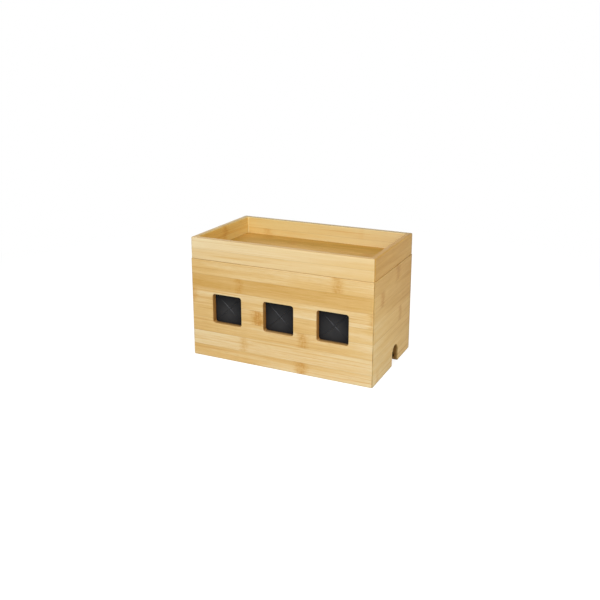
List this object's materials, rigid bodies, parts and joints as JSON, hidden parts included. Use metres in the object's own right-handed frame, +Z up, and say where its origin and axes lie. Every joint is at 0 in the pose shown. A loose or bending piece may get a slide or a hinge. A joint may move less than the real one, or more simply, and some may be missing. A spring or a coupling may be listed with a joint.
{
  "type": "cable management box",
  "caption": "Oblong bamboo box that hides a power strip, with rubber cable ports in its front, an arched lead notch in each end and a lift-off lid with a tray top.",
  "frame": {"origin": "middle of the footprint, on the surface that the box stands on", "axes": "+X along the length towards the right-hand end seen from the front, +Y from the front panel to the back panel, +Z up"},
  "size_m": [0.3, 0.172, 0.1905],
  "materials": {
    "bamboo_panel": "satin",
    "bamboo_tray_floor": "satin",
    "bamboo_inside": "matte",
    "port_rubber": "matte"
  },
  "bodies": {
    "box": {"front_panel": "bamboo_panel", "back_panel": "bamboo_panel", "left_panel": "bamboo_panel", "right_panel": "bamboo_panel", "bottom_board": "bamboo_inside", "left_port_border": "port_rubber", "middle_port_border": "port_rubber", "right_port_border": "port_rubber"},
    "lid": {"lid_front_rail": "bamboo_panel", "lid_back_rail": "bamboo_panel", "lid_left_rail": "bamboo_panel", "lid_right_rail": "bamboo_panel", "tray_board": "bamboo_tray_floor", "lid_front_batten": "bamboo_inside", "lid_back_batten": "bamboo_inside", "lid_left_batten": "bamboo_inside", "lid_right_batten": "bamboo_inside"},
    "left_port_top_flap": {"left_port_top_flap": "port_rubber"},
    "left_port_bottom_flap": {"left_port_bottom_flap": "port_rubber"},
    "left_port_left_flap": {"left_port_left_flap": "port_rubber"},
    "left_port_right_flap": {"left_port_right_flap": "port_rubber"},
    "middle_port_top_flap": {"middle_port_top_flap": "port_rubber"},
    "middle_port_bottom_flap": {"middle_port_bottom_flap": "port_rubber"},
    "middle_port_left_flap": {"middle_port_left_flap": "port_rubber"},
    "middle_port_right_flap": {"middle_port_right_flap": "port_rubber"},
    "right_port_top_flap": {"right_port_top_flap": "port_rubber"},
    "right_port_bottom_flap": {"right_port_bottom_flap": "port_rubber"},
    "right_port_left_flap": {"right_port_left_flap": "port_rubber"},
    "right_port_right_flap": {"right_port_right_flap": "port_rubber"}
  },
  "joints": [
    {"name": "lid_lift", "type": "slide", "parent": "box", "child": "lid", "axis": [0, 0, 1], "range_m": [0, 0.1]},
    {"name": "left_port_top_bend", "type": "hinge", "parent": "box", "child": "left_port_top_flap", "pos_m": [-0.0875, -0.0762, 0.1], "axis": [1, 0, 0], "range_deg": [-70, 70], "stiffness_Nm_per_rad": 0.004},
    {"name": "left_port_bottom_bend", "type": "hinge", "parent": "box", "child": "left_port_bottom_flap", "pos_m": [-0.0875, -0.0762, 0.062], "axis": [-1, 0, 0], "range_deg": [-70, 70], "stiffness_Nm_per_rad": 0.004},
    {"name": "left_port_left_bend", "type": "hinge", "parent": "box", "child": "left_port_left_flap", "pos_m": [-0.108, -0.0762, 0.081], "axis": [0, 0, 1], "range_deg": [-70, 70], "stiffness_Nm_per_rad": 0.004},
    {"name": "left_port_right_bend", "type": "hinge", "parent": "box", "child": "left_port_right_flap", "pos_m": [-0.067, -0.0762, 0.081], "axis": [0, 0, -1], "range_deg": [-70, 70], "stiffness_Nm_per_rad": 0.004},
    {"name": "middle_port_top_bend", "type": "hinge", "parent": "box", "child": "middle_port_top_flap", "pos_m": [0, -0.0762, 0.1], "axis": [1, 0, 0], "range_deg": [-70, 70], "stiffness_Nm_per_rad": 0.004},
    {"name": "middle_port_bottom_bend", "type": "hinge", "parent": "box", "child": "middle_port_bottom_flap", "pos_m": [0, -0.0762, 0.062], "axis": [-1, 0, 0], "range_deg": [-70, 70], "stiffness_Nm_per_rad": 0.004},
    {"name": "middle_port_left_bend", "type": "hinge", "parent": "box", "child": "middle_port_left_flap", "pos_m": [-0.0205, -0.0762, 0.081], "axis": [0, 0, 1], "range_deg": [-70, 70], "stiffness_Nm_per_rad": 0.004},
    {"name": "middle_port_right_bend", "type": "hinge", "parent": "box", "child": "middle_port_right_flap", "pos_m": [0.0205, -0.0762, 0.081], "axis": [0, 0, -1], "range_deg": [-70, 70], "stiffness_Nm_per_rad": 0.004},
    {"name": "right_port_top_bend", "type": "hinge", "parent": "box", "child": "right_port_top_flap", "pos_m": [0.0875, -0.0762, 0.1], "axis": [1, 0, 0], "range_deg": [-70, 70], "stiffness_Nm_per_rad": 0.004},
    {"name": "right_port_bottom_bend", "type": "hinge", "parent": "box", "child": "right_port_bottom_flap", "pos_m": [0.0875, -0.0762, 0.062], "axis": [-1, 0, 0], "range_deg": [-70, 70], "stiffness_Nm_per_rad": 0.004},
    {"name": "right_port_left_bend", "type": "hinge", "parent": "box", "child": "right_port_left_flap", "pos_m": [0.067, -0.0762, 0.081], "axis": [0, 0, 1], "range_deg": [-70, 70], "stiffness_Nm_per_rad": 0.004},
    {"name": "right_port_right_bend", "type": "hinge", "parent": "box", "child": "right_port_right_flap", "pos_m": [0.108, -0.0762, 0.081], "axis": [0, 0, -1], "range_deg": [-70, 70], "stiffness_Nm_per_rad": 0.004}
  ]
}
